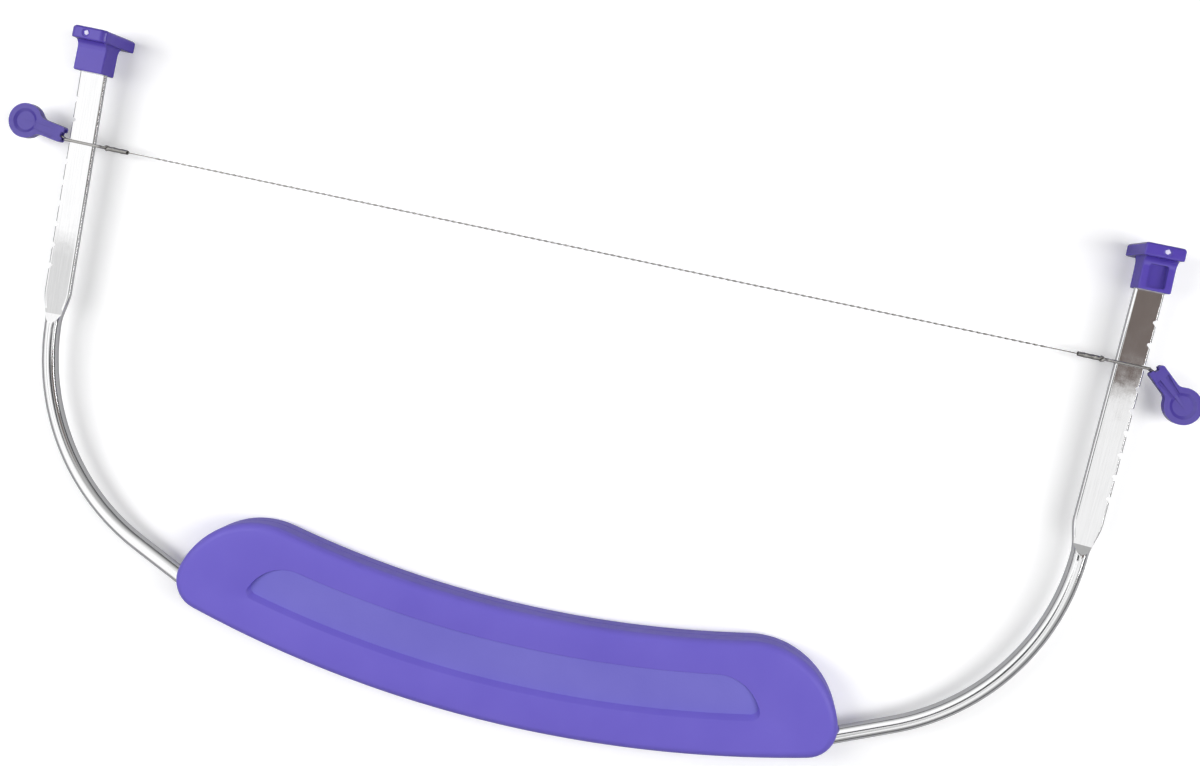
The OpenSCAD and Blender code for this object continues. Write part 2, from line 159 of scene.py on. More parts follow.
def close_ends(bm):
    """Fills every open ring with a face."""
    bmesh.ops.holes_fill(bm, edges=[e for e in bm.edges if e.is_boundary], sides=0)


def merge_flat_faces(bm):
    """Makes one face of those that lie in one plane."""
    bmesh.ops.dissolve_limit(bm, angle_limit=0.01, verts=bm.verts, edges=bm.edges)


def bevel(bm, edges, offset, segments):
    """Bevels edges, with a flat bevel where there is one segment."""
    bmesh.ops.bevel(bm, geom=edges, offset=offset, affect="EDGES", segments=segments, profile=0.5, material=-1)


def turn_flat(bm, degrees, centre=(0, 0, 0)):
    """Turns a mesh about an upright line."""
    bmesh.ops.rotate(bm, cent=centre, matrix=Matrix.Rotation(math.radians(degrees), 3, "Z"), verts=bm.verts)


def put_on_arm(bm):
    """Moves a tool that was drawn along the Y axis to the right arm, its origin to the first notch."""
    turn_flat(bm, -SPLAY)
    bmesh.ops.translate(bm, vec=(FIRST_NOTCH.x, FIRST_NOTCH.y, MID_Z), verts=bm.verts)


# %% Cut one mesh with another
def block(low, high):
    """A closed box between two corners."""
    bm = bmesh.new()
    size, middle = Vector(high) - Vector(low), (Vector(high) + Vector(low)) / 2
    bmesh.ops.create_cube(bm, size=1.0, matrix=Matrix.Translation(middle) @ Matrix.Diagonal((*size, 1)))
    return bm


def cone(low_r, high_r, length, place, sides=32):
    """A closed cone, or a pin, about its own Z axis."""
    bm = bmesh.new()
    bmesh.ops.create_cone(
        bm, cap_ends=True, segments=sides, radius1=low_r, radius2=high_r, depth=length, matrix=place)
    return bm


def uprights(bm):
    """The upright edges of a block."""
    return [e for e in bm.edges if abs(e.verts[0].co.z - e.verts[1].co.z) > 1]


def new_object(bm, name):
    """An object that holds a copy of a bmesh."""
    mesh = bpy.data.meshes.new(name)
    bm.to_mesh(mesh)
    thing = bpy.data.objects.new(name, mesh)
    scene.collection.objects.link(thing)
    return thing


def combine(bm, other, operation="DIFFERENCE", solver="EXACT"):
    """A new bmesh: the first one with the second one cut out of it or joined to it."""
    for one in (bm, other):
        bmesh.ops.recalc_face_normals(one, faces=one.faces)
    work, tool = new_object(bm, "work"), new_object(other, "tool")
    modifier = work.modifiers.new("combine", "BOOLEAN")
    modifier.operation, modifier.solver, modifier.object = operation, solver, tool
    result = bmesh.new()
    result.from_object(work, bpy.context.evaluated_depsgraph_get())
    for thing in (work, tool):
        bpy.data.meshes.remove(thing.data)  # its object goes with it
    bm.free()
    other.free()
    return result


# %% Put a finished mesh on its body
def make_piece(bm, name, materials, body, node, crease=30.0):
    """Brings a mesh from millimetres to metres and makes it the piece that stands for a CAD node."""
    bmesh.ops.remove_doubles(bm, verts=bm.verts, dist=1e-4)
    bmesh.ops.recalc_face_normals(bm, faces=bm.faces)
    bmesh.ops.scale(bm, vec=(MM, MM, MM), verts=bm.verts)
    piece = new_object(bm, name)
    open_edges = sum(1 for e in bm.edges if not e.is_manifold)
    bm.free()
    for material in materials:
        piece.data.materials.append(material)
    piece.data.shade_smooth()
    piece.data.set_sharp_from_angle(angle=math.radians(crease))
    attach(piece, body)
    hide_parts(node)
    print(f"{name}: {len(piece.data.polygons)} faces, {open_edges} open edges")
    return piece


# %% [markdown]
# ## The camera
#
# The photograph looks down on the tool from about 40 cm above it, with the
# camera turned by twelve degrees. Its place was fitted to the feet, the notches
# and the grip. The lens is shifted, as in a trimmed picture.

# %% Camera
CAMERA_PLACE = Vector((45.716, 50.166, 408.017))
TILT_X, TILT_Y, TURN_Z = 0.02259, -0.09888, -0.20912

camera_data = bpy.data.cameras.new("camera")
camera_data.sensor_fit, camera_data.sensor_width = "HORIZONTAL", 36.0
camera_data.lens, camera_data.shift_x, camera_data.shift_y = 41.33, 0.0013, -0.0744
camera_data.clip_start, camera_data.clip_end = 0.01, 20.0
camera = bpy.data.objects.new("camera", camera_data)
tilt = Matrix.Rotation(TILT_X, 4, "X") @ Matrix.Rotation(TILT_Y, 4, "Y")
world_to_view = Matrix.Rotation(TURN_Z, 4, "Z") @ tilt
camera.matrix_world = Matrix.Translation(CAMERA_PLACE * MM) @ world_to_view.inverted()
scene.collection.objects.link(camera)
scene.camera = camera
print("camera at", [round(c, 1) for c in CAMERA_PLACE], "mm, lens", camera_data.lens)

# %% [markdown]
# ## The finishes
#
# The whole tool is plastic and steel. Each finish is a Principled shader whose
# colour, gloss and relief come from noise in the object's own coordinates, so
# that the pattern stays on the piece however it moves. The satin grip has a
# fine grain and its panel a coarser one, the feet and tabs are glossier, and
# the steel has drawn lines. Scales are in waves per metre, depths in metres.


# %% Node helpers
def start_material(name):
    """A new material with its nodes, links and Principled shader."""
    material = bpy.data.materials.new(name)
    material.use_nodes = True
    tree = material.node_tree
    return material, tree, tree.nodes["Principled BSDF"]


def plug(tree, node, **values):
    """Sets a node's sockets: links another node's output, or stores a value."""
    for socket, value in values.items():
        target = node.inputs[socket.replace("_", " ")]
        if isinstance(value, bpy.types.NodeSocket):
            tree.links.new(value, target)
        else:
            target.default_value = value
    return node


def add(tree, kind, **values):
    """A new node with its sockets set. An underscore stands for the space in a socket's name."""
    return plug(tree, tree.nodes.new("ShaderNode" + kind), **values)


def noise(tree, vector, scale, detail=3.0, roughness=0.5):
    """A cloudy pattern from 0 to 1, most of it between 0.3 and 0.7."""
    return add(tree, "TexNoise", Vector=vector, Scale=scale, Detail=detail, Roughness=roughness).outputs["Fac"]


def spread(tree, value, out_low, out_high, low=0.3, high=0.7):
    """Stretches a value, by default a noise, to another range."""
    node = add(tree, "MapRange", Value=value, From_Min=low, From_Max=high, To_Min=out_low, To_Max=out_high)
    return node.outputs["Result"]


def two_colours(tree, value, first, second):
    """A colour between two, chosen by a value from 0 to 1."""
    node = add(tree, "Mix")
    node.data_type = "RGBA"
    return plug(tree, node, Factor=value, A=(*first, 1), B=(*second, 1)).outputs["Result"]


def relief(tree, height, distance, **under):
    """A bump from a height pattern, on top of another bump if one is given as Normal."""
    return add(tree, "Bump", Height=height, Distance=distance, Strength=1.0, **under).outputs["Normal"]


# %% Plastic
DRIFT_SCALE = 55.0  # slow changes of colour
PATTERN_DETAIL = 2.0


def plastic(name, deep, pale, roughness, specular, grain_scale, grain_depth):
    """Moulded plastic: a slow drift of colour, a fine grain and a slightly uneven gloss."""
    material, tree, shader = start_material(name)
    place = add(tree, "TexCoord").outputs["Object"]
    drift = spread(tree, noise(tree, place, DRIFT_SCALE, PATTERN_DETAIL), 0.0, 1.0)
    grain = noise(tree, place, grain_scale, PATTERN_DETAIL, 0.6)
    swell = noise(tree, place, grain_scale / 6, PATTERN_DETAIL)
    bumps = relief(tree, swell, grain_depth * 2)
    plug(tree, shader, Base_Color=two_colours(tree, drift, deep, pale), Specular_IOR_Level=specular,
         Roughness=spread(tree, swell, roughness - 0.04, roughness + 0.04),
         Normal=relief(tree, grain, grain_depth, Normal=bumps))
    return material


PLASTICS = {  # two colours, roughness, specular level, scale and depth of the grain
    "grip_satin": ((0.138, 0.104, 0.535), (0.152, 0.116, 0.560), 0.42, 0.5, 2600.0, 0.000010),
    "grip_panel_grain": ((0.166, 0.148, 0.560), (0.182, 0.164, 0.585), 0.60, 0.4, 1500.0, 0.000030),
    "foot_gloss": ((0.078, 0.045, 0.385), (0.088, 0.054, 0.420), 0.13, 0.8, 900.0, 0.000008),
    "tab_gloss": ((0.060, 0.037, 0.300), (0.070, 0.045, 0.330), 0.16, 0.7, 900.0, 0.000008),
    # the scars' pale colour is a painted highlight for the glint on torn plastic
    "torn_stub_painted_glint": ((0.62, 0.58, 0.80), (0.80, 0.78, 0.90), 0.60, 0.4, 900.0, 0.000030)}
grip_face, grip_panel, foot_gloss, tab_gloss, torn_stub_painted_glint = (
    plastic(name, *values) for name, values in PLASTICS.items())
print("plastics:", *PLASTICS)


# %% Steel
CLOUD_SCALE, WAVE_SCALE = 260.0, 420.0
LINE_SCALE = 3.0  # of the drawn lines, in the grain that is marked below
DARK_LINES = 0.93


def steel(name, colour, roughness, line_depth, wave_depth):
    """Drawn steel: fine lines along the metal, faint clouds in the gloss and a slight waviness."""
    material, tree, shader = start_material(name)
    grain = add(tree, "Attribute")
    grain.attribute_name = "grain"
    place = add(tree, "TexCoord").outputs["Object"]
    lines = noise(tree, grain.outputs["Vector"], LINE_SCALE, roughness=0.6)
    clouds = noise(tree, place, CLOUD_SCALE, roughness=0.6)
    tint = spread(tree, lines, 0.0, 1.0)
    darker = tuple(c * DARK_LINES for c in colour)
    waves = relief(tree, noise(tree, place, WAVE_SCALE, PATTERN_DETAIL), wave_depth)
    plug(tree, shader, Base_Color=two_colours(tree, tint, darker, colour), Metallic=1.0,
         Roughness=spread(tree, clouds, roughness - 0.03, roughness + 0.05),
         Normal=relief(tree, lines, line_depth, Normal=waves))
    return material


bow_steel = steel("polished_bow_steel", (0.90, 0.90, 0.905), 0.08, line_depth=0.0000015, wave_depth=0.000004)
wire_metal = steel("drawn_wire_steel", (0.46, 0.45, 0.435), 0.22, line_depth=0.0000020, wave_depth=0.000004)
sleeve_metal = steel("crimped_sleeve_steel", (0.42, 0.41, 0.39), 0.30, line_depth=0.0000030, wave_depth=0.000006)
print("steels:", bow_steel.name, wire_metal.name, sleeve_metal.name)


# %% Grain along the metal
SLOW = 0.03  # the grain changes this slowly along the metal, so lines are long


def mark_grain(piece, lengthwise):
    """Stores where each vertex lies along the metal and across it, for the drawn lines to follow."""
    attribute = piece.data.attributes.new("grain", "FLOAT_VECTOR", "POINT")
    for vertex, value in zip(piece.data.vertices, attribute.data):
        value.vector = lengthwise(vertex.co / MM)


# %% [markdown]
# ## The bow
#
# The real bow is one steel tube, bent in a pipe bender and then pressed flat
# at both ends. Spinning and pulling one ring follows the same steps as the
# bender: a bar in the grip, a small bend, a rise, the wide shoulder and the
# straight arm. Only the right half is bent, and mirrored afterwards.

# %% Route of the tube
TUBE_R = 2.4
TUBE_SIDES = 48
BAR_Y = FAR_Y + 13.3
RISE = 24.0  # slope of the straight part between the grip and the shoulder, in degrees
GRIP_BEND_R, SHOULDER_R = 45.0, 67.6
STRIP_RUN = 58.0  # the strip ends here, measured from the first notch toward the grip
TUBE_RUN = 67.7  # the full round tube starts here
SLOPE_RUN = 2.8  # length of the slope between the strip's face and the tube's top
CREASE_RUN = TUBE_RUN - SLOPE_RUN  # the slope meets the flat here
STRIP_END = -19.0  # inside the foot
BEND_STEPS, SHOULDER_STEPS = 12, 40

slope = math.radians(RISE)
shoulder_turn = 90 - SPLAY - RISE
shoulder_c = arm_point(TUBE_RUN) - SHOULDER_R * Vector((ARM_LINE[1], -ARM_LINE[0]))
shoulder_start = shoulder_c + SHOULDER_R * Vector((math.sin(slope), -math.cos(slope)))
bend_end_y = BAR_Y + GRIP_BEND_R * (1 - math.cos(slope))
bend_end_x = shoulder_start.x - (shoulder_start.y - bend_end_y) / math.tan(slope)
bend_c = Vector((bend_end_x - GRIP_BEND_R * math.sin(slope), BAR_Y + GRIP_BEND_R))
print(f"bend starts at x {bend_c.x:.1f}, shoulder from {shoulder_start.x:.1f} to {arm_point(TUBE_RUN).x:.1f}")


# %% Bend the tube
def bent_tube(radius, stations):
    """The whole bow as a tube of one radius, with extra rings at the given places of each arm."""
    bm = bmesh.new()
    upright = Matrix.Translation((0, BAR_Y, MID_Z)) @ Matrix.Rotation(math.radians(90), 4, "Y")
    circle = bmesh.ops.create_circle(bm, cap_ends=False, radius=radius, segments=TUBE_SIDES, matrix=upright)
    ring = pull(bm, with_edges(circle["verts"]), (bend_c.x, 0, 0))
    ring = spin(bm, ring, (bend_c.x, bend_c.y, MID_Z), RISE, BEND_STEPS)
    ring = pull(bm, ring, (shoulder_start.x - bend_end_x, shoulder_start.y - bend_end_y, 0))
    ring = spin(bm, ring, (shoulder_c.x, shoulder_c.y, MID_Z), shoulder_turn, SHOULDER_STEPS)
    last = TUBE_RUN
    for run in stations:
        ring = pull(bm, ring, ((last - run) * ARM_LINE[0], (last - run) * ARM_LINE[1], 0))
        last = run
    bmesh.ops.mirror(bm, geom=everything(bm), axis="X", merge_dist=1e-3)
    return bm


# %% [markdown]
# The press leaves a flat strip with round edges, a short slope up to the round
# tube, and a sharp crease between the two. Each ring of the arm is pressed by
# the same rule. Its half height comes down the slope, its width grows along
# the strip's root, and one of its points always lies on the edge of the flat.

# %% Press the arms flat
STRIP_HALF_W, STRIP_HALF_T = 4.2, 0.9
SIDE_POINTS, QUARTER = 8, TUBE_SIDES // 4


def smooth(t):
    """A soft start and a soft end between 0 and 1."""
    t = min(max(t, 0.0), 1.0)
    return t * t * (3 - 2 * t)


def pressed(step, run):
    """Across and up, in one quarter of the ring, of point number step, counted from the side."""
    width = TUBE_R + (STRIP_HALF_W - TUBE_R) * smooth((TUBE_RUN - run) / (TUBE_RUN - STRIP_RUN))
    height = max(STRIP_HALF_T, TUBE_R - (TUBE_R - STRIP_HALF_T) * (TUBE_RUN - run) / SLOPE_RUN)
    rounded = smooth((CREASE_RUN - run) / (CREASE_RUN - STRIP_RUN))
    up = height * math.sin(math.radians(90 * min(step, SIDE_POINTS) / SIDE_POINTS))
    round_side = width - height + math.sqrt(max(height * height - up * up, 0.0))
    tube_side = width * math.sqrt(max(1 - (up / TUBE_R) ** 2, 0.0))
    side = rounded * round_side + (1 - rounded) * tube_side
    if step <= SIDE_POINTS:
        return side, up
    return side * (QUARTER - step) / (QUARTER - SIDE_POINTS), up


def press_arms(bm):
    """Moves the points of both arms to their pressed places."""
    for vert in bm.verts:
        hand = math.copysign(1.0, vert.co.x)
        run, across = arm_place(abs(vert.co.x), vert.co.y)
        if run > TUBE_RUN - 0.01 or abs(vert.co.x) < shoulder_c.x:
            continue
        up = vert.co.z - MID_Z
        step = round(math.degrees(math.atan2(abs(up), abs(across))) / (90 / QUARTER))
        new_across, new_up = pressed(step, run)
        shift = math.copysign(new_across, across) * (abs(across) > 1e-3) - across
        vert.co.x += hand * shift * ARM_LINE[1]
        vert.co.y -= shift * ARM_LINE[0]
        vert.co.z = MID_Z + math.copysign(new_up, up)


slope_stations = [TUBE_RUN - SLOPE_RUN * k / 10 for k in range(1, 11)]
root_stations = [CREASE_RUN - (CREASE_RUN - STRIP_RUN) * k / 12 for k in range(1, 13)]
bow = bent_tube(TUBE_R, slope_stations + root_stations + [-2.0, STRIP_END])
press_arms(bow)
close_ends(bow)
print("pressed bow:", len(bow.verts), "points")

# %% [markdown]
# The notches are punched through the strip from its outer edge. Each is a V
# with a rounded bottom for the hook's wire, and it leans toward the foot. The
# punch is the convex hull of a round pin and a wide mouth. It is copied along
# both arms before the cut.

# %% Punch the notches
NOTCH_DEPTH, NOTCH_HALF_W = 1.3, 1.0
NOTCH_TIP_R, NOTCH_LEAN = 0.45, 0.25


def notch_punch():
    """One punch at the first notch of a right arm that stands along Y."""
    bm = bmesh.new()
    inner = STRIP_HALF_W - NOTCH_DEPTH + NOTCH_TIP_R
    bmesh.ops.create_cone(bm, segments=20, radius1=NOTCH_TIP_R, radius2=NOTCH_TIP_R, depth=4 * STRIP_HALF_T,
                          matrix=Matrix.Translation((inner, NOTCH_LEAN, 0)))
    low = (STRIP_HALF_W, -NOTCH_HALF_W, -2 * STRIP_HALF_T)
    mouth = block(low, (STRIP_HALF_W + NOTCH_DEPTH, NOTCH_HALF_W, 2 * STRIP_HALF_T))
    for vert in mouth.verts:
        bm.verts.new(vert.co)
    mouth.free()
    hull = bmesh.ops.convex_hull(bm, input=bm.verts[:])
    spare = verts_of(hull["geom_interior"] + hull["geom_unused"])
    bmesh.ops.delete(bm, geom=spare, context="VERTS")
    merge_flat_faces(bm)
    return bm


punches = notch_punch()
one_punch = everything(punches)
for k in range(1, NOTCH_COUNT):
    copy = bmesh.ops.duplicate(punches, geom=one_punch)["geom"]
    bmesh.ops.translate(punches, vec=(0, -k * NOTCH_PITCH, 0), verts=verts_of(copy))
put_on_arm(punches)
bmesh.ops.mirror(punches, geom=everything(punches), axis="X", merge_dist=1e-4)
bow = combine(bow, punches, solver="FAST")
bow_piece = make_piece(bow, "bent_bow", [bow_steel], "bow", "bow_tube", crease=24.0)


# %% Drawn lines along the bow
GRAIN_PAST_SHOULDER = 4.5


def along_bow(p):
    """Where a point lies along the tube's route, counted slowly, and across it."""
    x, y, z = abs(p.x), p.y, p.z - MID_Z
    run, across = arm_place(x, y)
    if run < TUBE_RUN and x > shoulder_c.x:
        return (run * SLOW, across, z)
    if y > shoulder_start.y - 2:
        spoke = Vector((x, y)) - shoulder_c
        return (TUBE_RUN * SLOW + math.atan2(spoke.x, spoke.y), spoke.length - SHOULDER_R, z)
    past = Vector((x, y)) - shoulder_start
    return (GRAIN_PAST_SHOULDER - past.length * SLOW, past.x * math.sin(slope) - past.y * math.cos(slope), z)


mark_grain(bow_piece, along_bow)

# %% [markdown]
# ## The grip
#
# The grip is two moulded shells that close round the tube. Its outline is a
# half moon: a long far edge, small far corners, round ends and a hollow near
# edge, all of them arcs, so it is spun arc by arc. The same outline, moved
# inward, gives every level of the rounded edge, and the scooped panel is a
# smaller moon about the same centres. The levels are bridged in even rows.

# %% Sizes of the grip
GRIP_HALF_T = 6.5
GRIP_W, FAR_R, NEAR_R = 33.4, 364.0, 336.5
FAR_C = Vector((0, FAR_Y + FAR_R))
NEAR_C = Vector((0, FAR_Y + GRIP_W + NEAR_R))
ARC_STEPS = (40, 10, 26, 36)  # far edge, far corner, end, near edge
FAR_MARGIN, NEAR_MARGIN = 11.0, 9.6  # from the grip's edges to the panel's
GRIP_MOON = {"far": FAR_R, "corner": 9.0, "end": 25.0, "near": NEAR_R, "end_x": 74.5}
PANEL_MOON = {"far": FAR_R - FAR_MARGIN, "corner": 2.2, "end": 12.5, "near": NEAR_R + NEAR_MARGIN, "end_x": 64.7}


def crossing(c1, r1, c2, r2):
    """The crossing of two circles that lies to the right of the line between their centres."""
    gap = c2 - c1
    d, u = gap.length, gap.normalized()
    a = (d * d + r1 * r1 - r2 * r2) / (2 * d)
    h = math.sqrt(r1 * r1 - a * a)
    return c1 + a * u + h * Vector((u.y, -u.x))


def moon(bm, shape, inset, z, far_inset=None):
    """Spins a half moon outline, moved inward, at a height. Returns the closed loop's edges."""
    far = shape["far"] - (inset if far_inset is None else far_inset)
    end, corner = shape["end"] - inset, max(shape["corner"] - inset, 0.3)
    end_drop = math.sqrt((shape["near"] + shape["end"]) ** 2 - shape["end_x"] ** 2)
    end_c = Vector((shape["end_x"], NEAR_C.y - end_drop))
    corner_c = crossing(end_c, end - corner, FAR_C, far - corner)
    turns = [
        (FAR_C, heading(FAR_C, corner_c) + 90),
        (corner_c, heading(end_c, corner_c) - heading(FAR_C, corner_c)),
        (end_c, heading(end_c, NEAR_C) - heading(end_c, corner_c)),
        (NEAR_C, -90 - heading(NEAR_C, end_c))]
    before = set(bm.edges)
    tip = [bm.verts.new((0, FAR_C.y - far, z))]
    for (centre, turn), steps in zip(turns, ARC_STEPS):
        tip = verts_of(spin(bm, tip, (centre.x, centre.y, z), turn, steps))
    half = [e for e in bm.edges if e not in before]
    bmesh.ops.mirror(bm, geom=half + unique(v for e in half for v in e.verts), axis="X", merge_dist=1e-3)
    return [e for e in bm.edges if e not in before]


# %% [markdown]
# Each shell starts with a hairline chamfer at the joint, goes straight up and
# rolls over with a wide radius. A narrow lip drops to the panel's floor, which
# is shallow at the near edge and deeper at the far edge, where a slope ends
# it. The floor is one face, cut into a grid so that it can follow that fall.

# %% Outer skin of a shell
EDGE_R, JOINT_CHAMFER, LIP = 2.5, 0.18, 0.22
SCOOP_NEAR, SCOOP_FAR, SCOOP_SLOPE = 0.3, 1.4, 1.4
PANEL_NEAR_RUN = FAR_R - GRIP_W + NEAR_MARGIN  # the panel's near edge, from the far edge's centre
PANEL_FAR_RUN = FAR_R - FAR_MARGIN - SCOOP_SLOPE
ROLL_STEPS = 10
GRID = 4.0  # the floor is cut every so many millimetres
GRID_CUTS = (((1, 0, 0), 19), ((0, 1, 0), 20))  # direction, and number of cuts to each side


def floor_depth(x, y):
    """Depth of the scoop at a place, by its distance from the centre of the far edge's arc."""
    share = ((Vector((x, y)) - FAR_C).length - PANEL_NEAR_RUN) / (PANEL_FAR_RUN - PANEL_NEAR_RUN)
    return SCOOP_NEAR + (SCOOP_FAR - SCOOP_NEAR) * min(max(share, 0.0), 1.0)


def shell_skin():
    """The outside of one shell, open at the joint, with its panel's floor as material 1."""
    bm = bmesh.new()
    levels = [(JOINT_CHAMFER, 0.0), (0.0, JOINT_CHAMFER)]
    for k in range(ROLL_STEPS + 1):
        a = math.radians(90 / ROLL_STEPS * k)
        levels.append((EDGE_R * (1 - math.cos(a)), GRIP_HALF_T - EDGE_R * (1 - math.sin(a))))
    loops = [moon(bm, GRIP_MOON, inset, z) for inset, z in levels]
    loops.append(moon(bm, PANEL_MOON, -LIP, GRIP_HALF_T))
    loops.append(moon(bm, PANEL_MOON, -LIP / 3, GRIP_HALF_T - LIP / 5))
    loops.append(moon(bm, PANEL_MOON, 0.0, GRIP_HALF_T - LIP / 1.2, far_inset=LIP / 2))
    rim = moon(bm, PANEL_MOON, LIP / 4, GRIP_HALF_T - SCOOP_FAR, far_inset=SCOOP_SLOPE)
    for lower, upper in zip(loops, loops[1:] + [rim]):
        bmesh.ops.bridge_loops(bm, edges=lower + upper)
    before = set(bm.faces)
    bmesh.ops.contextual_create(bm, geom=rim)
    floor = [f for f in bm.faces if f not in before]
    for normal, count in GRID_CUTS:
        for k in range(-count, count + 1):
            geom = floor + unique(e for f in floor for e in f.edges) + unique(v for f in floor for v in f.verts)
            place = tuple(GRID * k * c for c in normal)
            cut = bmesh.ops.bisect_plane(bm, geom=geom, dist=1e-4, plane_co=place, plane_no=normal)
            floor = [g for g in cut["geom"] if isinstance(g, bmesh.types.BMFace)]
    for face in floor:
        face.material_index = 1
        for vert in face.verts:
            vert.co.z = GRIP_HALF_T - floor_depth(vert.co.x, vert.co.y)
    return bm


# %% Walls, tube holes and the two shells
SHELL_WALL = 2.0
HOLE_GAP, HOLE_RUN = 0.05, 40.0


def grip_shell(hand):
    """A whole shell: the skin, its inner wall and the holes that the tube goes through."""
    bm = shell_skin()
    bmesh.ops.recalc_face_normals(bm, faces=bm.faces)
    bmesh.ops.solidify(bm, geom=bm.faces[:], thickness=SHELL_WALL)
    for vert in bm.verts:
        if vert.co.z < JOINT_CHAMFER * 0.9:
            vert.co.z = 0.0
    bmesh.ops.scale(bm, vec=(1, 1, hand), verts=bm.verts)
    bmesh.ops.translate(bm, vec=(0, 0, MID_Z), verts=bm.verts)
    tube = bent_tube(TUBE_R + HOLE_GAP, [HOLE_RUN])
    close_ends(tube)
    return combine(bm, tube)


shells = ((1, "upper_grip_shell", "handle_front_shell"), (-1, "lower_grip_shell", "handle_rear_shell"))
for hand, name, node in shells:
    make_piece(grip_shell(hand), name, [grip_face, grip_panel], "bow", node, crease=35.0)

# %% [markdown]
# ## The feet
#
# Each foot is a T-shaped moulding: a broad plate that slides on the table, and
# a socket that the strip is pushed into, joined by fillets. A plate face and a
# socket face that share an edge are pulled across. The plate is then pulled on
# by itself, two of its corners are bevelled and every outer edge is rounded.
# The pocket and the slot are cut last, since a bevel needs a clean mesh.

# %% Sizes of a foot
foot_low, foot_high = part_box("right_foot")
PLATE_IN, SOCKET_END, PLATE_OUT = foot_low.x / MM, foot_low.y / MM, foot_high.x / MM
SOCKET_W, SOCKET_HALF_T = 9.2, 4.0
PLATE_T, PLATE_HALF_D = 3.6, 10.0
FILLET = 2.4
PLATE_Y = SOLE_Y - PLATE_T
print(f"foot plate from x {PLATE_IN:.2f} to {PLATE_OUT:.2f}, socket ends at y {SOCKET_END:.2f}")


# %% Foot blank
def foot_blank():
    """The right foot's plate and socket, with its bevelled end toward -Z."""
    bm = bmesh.new()
    socket_in, socket_top = PLATE_OUT - SOCKET_W, MID_Z + SOCKET_HALF_T
    start = bm.verts.new((socket_in, PLATE_Y - FILLET, socket_top))
    spin(bm, [start], (socket_in, PLATE_Y - FILLET, socket_top + FILLET), 90, 8, axis=(1, 0, 0))
    arc = sorted(bm.verts, key=lambda v: v.co.y)
    low_end = bm.verts.new((socket_in, SOCKET_END, socket_top))
    bm.edges.new((low_end, arc[0]))
    half = [low_end] + arc
    mirrored = [bm.verts.new((v.co.x, v.co.y, 2 * MID_Z - v.co.z)) for v in half]
    socket = bm.faces.new(half + mirrored[::-1])
    corners = [(PLATE_Y, 1), (SOLE_Y, 1), (SOLE_Y, -1), (PLATE_Y, -1)]
    outer = [bm.verts.new((socket_in, y, MID_Z + side * PLATE_HALF_D)) for y, side in corners]
    plate = bm.faces.new([half[-1]] + outer + [mirrored[-1]])
    pull_faces(bm, [socket, plate], (SOCKET_W, 0, 0), keep=True)
    pull_faces(bm, [plate], (PLATE_IN - socket_in, 0, 0))
    bmesh.ops.remove_doubles(bm, verts=bm.verts, dist=1e-4)
    inside = [f for f in bm.faces if all(len(e.link_faces) > 2 for e in f.edges)]
    bmesh.ops.delete(bm, geom=inside, context="FACES_ONLY")
    bmesh.ops.recalc_face_normals(bm, faces=bm.faces)
    merge_flat_faces(bm)
    return bm


# %% Bevels, pocket and slot
PLATE_BEVEL, SOLE_BEVEL, EDGE_BEVEL = 1.4, 0.7, 0.45
SHARP_ANGLE = 38.0
POCKET_HALF_W, POCKET_DEPTH, POCKET_CORNER = 2.6, 2.2, 0.5
POCKET_START, POCKET_STOP = 0.9, 7.4  # measured from the socket's end
SLOT_GAP, SLOT_STOP = 0.05, 19.15  # the slot stops here past the first notch


def right_foot_mesh():
    """The right foot without its scars."""
    bm = foot_blank()
    low_z = MID_Z - PLATE_HALF_D
    corners = [e for e in bm.edges if abs(e.verts[0].co.y - e.verts[1].co.y) > PLATE_T - 0.1
               and all(abs(v.co.z - low_z) < 0.01 for v in e.verts)]
    bevel(bm, corners, PLATE_BEVEL, 1)
    bevel(bm, [e for e in bm.edges if all(abs(v.co.y - SOLE_Y) < 0.01 for v in e.verts)], SOLE_BEVEL, 2)
    merge_flat_faces(bm)
    sharp = [e for e in bm.edges if e.is_convex and e.calc_face_angle(0.0) > math.radians(SHARP_ANGLE)]
    bevel(bm, sharp, EDGE_BEVEL, 3)
    middle = PLATE_OUT - SOCKET_W / 2
    pocket = block((middle - POCKET_HALF_W, SOCKET_END + POCKET_START, MID_Z + SOCKET_HALF_T - POCKET_DEPTH),
                   (middle + POCKET_HALF_W, SOCKET_END + POCKET_STOP, MID_Z + 9))
    bevel(pocket, uprights(pocket), POCKET_CORNER, 3)
    bm = combine(bm, pocket)
    half_w, half_t = STRIP_HALF_W + SLOT_GAP, STRIP_HALF_T + SLOT_GAP
    slot = block((-half_w, -30, -half_t), (half_w, SLOT_STOP, half_t))
    put_on_arm(slot)
    return combine(bm, slot)


def soften(piece, width=0.0):
    """Rounds the sharp edges of a piece, where a width is given, and keeps its flat faces flat to the eye."""
    if width:
        rounded = piece.modifiers.new("rounded_edges", "BEVEL")
        rounded.width, rounded.segments = width * MM, 3
        rounded.limit_method, rounded.angle_limit = "ANGLE", math.radians(35)
        rounded.miter_outer = "MITER_ARC"
    even = piece.modifiers.new("flat_faces", "WEIGHTED_NORMAL")
    even.keep_sharp = True
    mesh = bpy.data.meshes.new_from_object(piece.evaluated_get(bpy.context.evaluated_depsgraph_get()))
    piece.modifiers.clear()
    piece.data = mesh


# %% [markdown]
# The feet are one moulding used twice. On the left arm it is turned half round
# about the Y axis, so that its plain side is up. Both end faces of the plate
# carry a small torn scar, where the moulding was broken off its runner: a stub
# in a shallow dimple, painted pale as a highlight for the glint it catches. It
# is a squashed ball, its points moved in and out.

# %% Gate scars and both feet
SCAR_R, DIMPLE_R = 1.0, 1.25
SCAR_FLAT, DIMPLE_FLAT = 0.45, 0.4  # height of each squashed ball, as a share
SCAR_PLACE = Vector((PLATE_OUT - 4.9, SOLE_Y - 1.9, 0))


